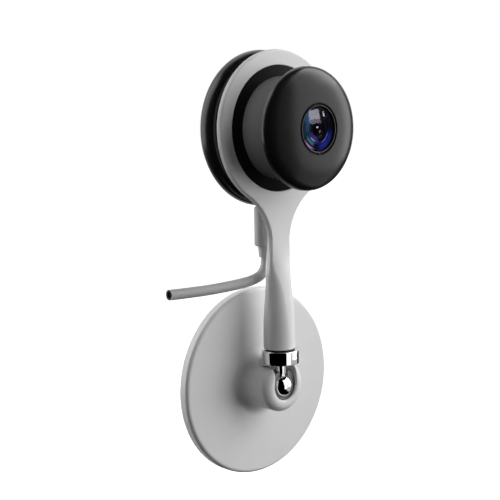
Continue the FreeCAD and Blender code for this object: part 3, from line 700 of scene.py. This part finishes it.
def make_lens():
    """The bezel and its ridge with a painted highlight, glass, and the stepped inner lens and pupil with
    painted reflections; each outline is (radius, y) points.
    """
    bezel = lathe("lens_bezel", [
        (10.90, -43.85), (10.90, -44.42), (10.78, -44.46), (10.66, -44.40), (10.50, -43.95),
        (10.25, -43.95), (10.05, -44.34), (9.95, -44.42), (9.80, -44.38), (9.50, -44.15), (9.50, -43.85),
    ], moulded("bezel_black", grey(0.004), 0.3, grain_depth=0.001, Specular_IOR_Level=0.12))
    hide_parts("lens_trim")
    glass = lathe("front_glass", dome(GLASS_R, -44.15, -45.0) + [(GLASS_R, -43.95), (0, -43.95)],
                  glass_material(), closed=False)
    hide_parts("lens_window")
    steps = []
    for rim in (9.2, 8.4, 7.6, 6.7, 5.9, 5.1, 4.4, 3.8):
        steps += [(rim, -43.45), (rim - 0.06, -43.57), (rim - 0.16, -43.57), (rim - 0.24, -43.43)]
    steps += [(3.3, -43.4), (2.9, -43.1), (0, -43.1)]
    # The inner lens and the pupil carry the painted reflections of the coating.
    inner = lathe("inner_lens", [(0, -43.0), (9.3, -43.0), (9.3, -43.43)] + steps,
                  glass_with_painted_reflections("inner_painted_reflections", Roughness=0.25, Specular_IOR_Level=0.18), closed=False)
    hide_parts("lens_hood")
    pupil = lathe("pupil_lens", dome(2.5, -43.15, -43.7, 12) + [(2.5, -43.11), (0, -43.11)],
                  glass_with_painted_reflections("pupil_painted_reflections", Roughness=0.05, IOR=2.3), closed=False)
    # The ridge's grey is a painted highlight: the thin light line of the bezel's inner edge.
    ridge = lathe("bezel_ridge", [
        (9.88, -44.30), (9.84, -44.41), (9.75, -44.43), (9.68, -44.40), (9.65, -44.28),
    ], moulded("ridge_painted_highlight", grey(0.16), 0.25))
    return [glass, inner, pupil]


LENS_PIECES = make_lens()


# ---------------------------------------------------------------- ball, stem and collar
BALL_R = (ball_high.x - ball_low.x) / 2
BALL_TOP = ball_high.z                       # the small flat that the stem stands on
collar_low, collar_high = box_mm("collar")
COLLAR_R = (collar_high.x - collar_low.x) / 2
COLLAR_ROUND = 0.35
COLLAR_BORE = 2.52
STEM_R = 2.5
STEM_ROUND = 0.2
STEM_NECK_R = 2.0
STEM_NECK_TOP = 5.6
STEM_START = BALL_TOP - 0.3                  # a little way into the ball
PIN_R = 1.8
PIN_TOP = box_mm("stem")[1].z


def arc(centre_r, centre_z, radius, start, end, steps):
    """Points of an arc between two directions in degrees, the first and last included."""
    turns = [math.radians(start + (end - start) * k / steps) for k in range(steps + 1)]
    return [(centre_r + radius * math.cos(turn), centre_z + radius * math.sin(turn)) for turn in turns]


def make_stud():
    """Smooth turned pieces in the place of the ball, stem and collar; each outline is (radius, height)."""
    flat_edge = math.degrees(math.asin(BALL_TOP / BALL_R))
    rim = COLLAR_R - COLLAR_ROUND
    shapes = {
        "ball": [(0, -BALL_R)] + arc(0, 0, BALL_R, -88, flat_edge, 60) + [(0, BALL_TOP)],
        "stem": [(0, STEM_START), (STEM_NECK_R, STEM_START), (STEM_NECK_R, STEM_NECK_TOP)]
                + arc(STEM_R - STEM_ROUND, STEM_NECK_TOP + STEM_ROUND, STEM_ROUND, -90, 0, 5)
                + [(STEM_R, collar_high.z), (PIN_R, collar_high.z), (PIN_R, PIN_TOP), (0, PIN_TOP)],
        "collar": [(COLLAR_BORE, collar_low.z)]
                  + arc(rim, collar_low.z + COLLAR_ROUND, COLLAR_ROUND, -90, 0, 6)
                  + arc(rim, collar_high.z - COLLAR_ROUND, COLLAR_ROUND, 0, 90, 6)
                  + [(COLLAR_BORE, collar_high.z)],
    }
    made = []
    for node, profile in shapes.items():
        piece = lathe("turned_" + node, profile, CHROME, closed=node == "collar", place=on_stud_axis,
                      body="stud")
        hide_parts(node)
        made.append(piece)
    return made


STUD_PIECES = make_stud()


# ---------------------------------------------------------------- stage
TOWARD_CAMERA = Vector((-0.667, -0.745, 0.0)).normalized()
CAMERA_RIGHT = Vector((0.745, -0.667, 0.0)).normalized()


def look_along(alpha, elevation):
    """Direction from the object: level towards the camera, then alpha degrees to its right, elevation up."""
    turn, rise = math.radians(alpha), math.radians(elevation)
    level = math.cos(turn) * TOWARD_CAMERA + math.sin(turn) * CAMERA_RIGHT
    return level * math.cos(rise) + Vector((0, 0, math.sin(rise)))


CENTRE = Vector((0, -0.018, 0.07))           # metres: the point that the lights face


def linked(name, objects, state):
    """A collection that a light lights alone, or leaves out."""
    group = bpy.data.collections.new(name)
    for obj in objects:
        group.objects.link(obj)
    for member in group.collection_objects:
        member.light_linking.link_state = state
    return group


def panel(name, alphas, elevations, distance, radiance, diffuse=True, glossy=True, only=None, without=None):
    """An area light that fills a range of directions seen from the object.

    The ranges are in degrees, as in look_along. The light reaches all pieces, only some, or all but some.
    """
    alpha, elevation = sum(alphas) / 2, sum(elevations) / 2
    width = 2 * distance * math.tan(math.radians(alphas[1] - alphas[0]) / 2)
    height = 2 * distance * math.tan(math.radians(elevations[1] - elevations[0]) / 2)
    light = bpy.data.lights.new(name, "AREA")
    light.shape = "RECTANGLE"
    light.size = width
    light.size_y = height
    light.energy = radiance * math.pi * width * height
    lamp = bpy.data.objects.new(name, light)
    scene.collection.objects.link(lamp)
    toward = look_along(alpha, elevation)
    lamp.location = CENTRE + toward * distance
    lamp.rotation_mode = "QUATERNION"
    lamp.rotation_quaternion = toward.to_track_quat("Z", "Y")
    lamp.visible_camera = False
    lamp.visible_diffuse = diffuse
    lamp.visible_glossy = glossy
    if only:
        lamp.light_linking.receiver_collection = linked(name + "_only", only, "INCLUDE")
    if without:
        lamp.light_linking.receiver_collection = linked(name + "_without", without, "EXCLUDE")


AMBIENT = 0.025                              # only dull surfaces get this
GLOW = 0.9
# Cosines of the angles from the middle of the glow, where it starts and where it is full.
GLOW_FROM, GLOW_FULL = 0.48, 0.66


def make_world():
    """White to the camera; to the object a faint ambient light, and a glow that rims it from behind."""
    world = bpy.data.worlds.new("studio")
    scene.world = world
    world.use_nodes = True
    tree = world.node_tree
    tree.nodes.clear()
    output = tree.nodes.new("ShaderNodeOutputWorld")

    def node(kind, **values):
        made = tree.nodes.new(kind)
        for key, value in values.items():
            setattr(made, key, value)
        return made

    paths = node("ShaderNodeLightPath")
    place = node("ShaderNodeTexCoord")
    toward = node("ShaderNodeVectorMath", operation="DOT_PRODUCT")
    tree.links.new(place.outputs["Generated"], toward.inputs[0])
    toward.inputs[1].default_value = look_along(202, 10)      # the middle of a pale glow behind the object
    back = node("ShaderNodeMapRange", interpolation_type="SMOOTHSTEP")
    back.inputs["From Min"].default_value = GLOW_FROM
    back.inputs["From Max"].default_value = GLOW_FULL
    back.inputs["To Max"].default_value = GLOW
    tree.links.new(toward.outputs["Value"], back.inputs["Value"])
    soft = node("ShaderNodeMath", operation="MULTIPLY_ADD")
    soft.inputs[1].default_value = AMBIENT
    tree.links.new(paths.outputs["Is Diffuse Ray"], soft.inputs[0])
    tree.links.new(back.outputs["Result"], soft.inputs[2])
    around = node("ShaderNodeBackground")
    around.inputs["Color"].default_value = grey(1.0)
    tree.links.new(soft.outputs["Value"], around.inputs["Strength"])
    white = node("ShaderNodeBackground")
    white.inputs["Color"].default_value = grey(1.0)
    mix = node("ShaderNodeMixShader")
    tree.links.new(paths.outputs["Is Camera Ray"], mix.inputs["Fac"])
    tree.links.new(around.outputs["Background"], mix.inputs[1])
    tree.links.new(white.outputs["Background"], mix.inputs[2])
    tree.links.new(mix.outputs["Shader"], output.inputs["Surface"])


def make_floor():
    """A pale floor below the object, which sends it no light."""
    mesh = bpy.data.meshes.new("floor")
    half, low = 6.0, -0.30                   # metres
    mesh.from_pydata([(-half, -half, low), (half, -half, low), (half, half, low), (-half, half, low)], [],
                     [(0, 1, 2, 3)])
    floor = bpy.data.objects.new("floor", mesh)
    scene.collection.objects.link(floor)
    shader = Shader("floor_pale")
    shader.set(Base_Color=grey(0.9), Roughness=0.9, Emission_Color=grey(1.0), Emission_Strength=1.0)
    paint(floor, shader.finish())
    floor.visible_diffuse = False
    floor.visible_glossy = False
    floor.visible_shadow = False


make_world()
make_floor()
BARREL = [nodes["barrel"]]

# Light that dull surfaces scatter.
panel("key", (56, 128), (-20, 55), 0.9, 2.48, glossy=False)
panel("front_fill", (-32, 28), (-20, 40), 0.9, 0.18, glossy=False)
panel("left_soft", (-132, -90), (-20, 50), 0.9, 2.6, glossy=False, without=BARREL)
panel("left_front", (-80, -48), (0, 50), 0.9, 0.75, glossy=False, without=BARREL)
panel("barrel_side", (-75, -25), (5, 80), 0.85, 2.5, glossy=False, only=BARREL)

# Light that glossy surfaces mirror: a wall on the right, weaker below and, except in the chrome, weaker
# in front, and a strip on the left.
panel("right_wall", (69, 122), (-17, 62), 0.8, 1.12, diffuse=False, without=LENS_PIECES)
panel("right_edge", (104, 126), (-12, 62), 0.78, 1.3, diffuse=False, without=LENS_PIECES)
panel("right_top", (94, 128), (22, 62), 0.76, 1.3, diffuse=False, without=LENS_PIECES)
panel("right_low", (72, 120), (-45, -17), 0.8, 0.45, diffuse=False, without=LENS_PIECES)
panel("right_fill", (38, 69), (-30, 55), 0.8, 0.10, diffuse=False, without=LENS_PIECES + STUD_PIECES)
panel("stud_front", (34, 70), (-30, 60), 0.8, 1.15, diffuse=False, only=STUD_PIECES)
panel("left_strip", (-112, -75), (-15, 60), 0.9, 1.8, diffuse=False, without=BARREL)

# Small reflections in the lens.
panel("window", (72, 86.5), (6, 16.5), 0.7, 2.6, diffuse=False, only=LENS_PIECES)
panel("window_top", (73, 85.5), (9.5, 16.3), 0.69, 3.4, diffuse=False, only=LENS_PIECES)
panel("lamp", (90.8, 92.8), (10.5, 13.5), 0.7, 9.0, diffuse=False, only=LENS_PIECES)
scene.view_settings.view_transform = "Standard"
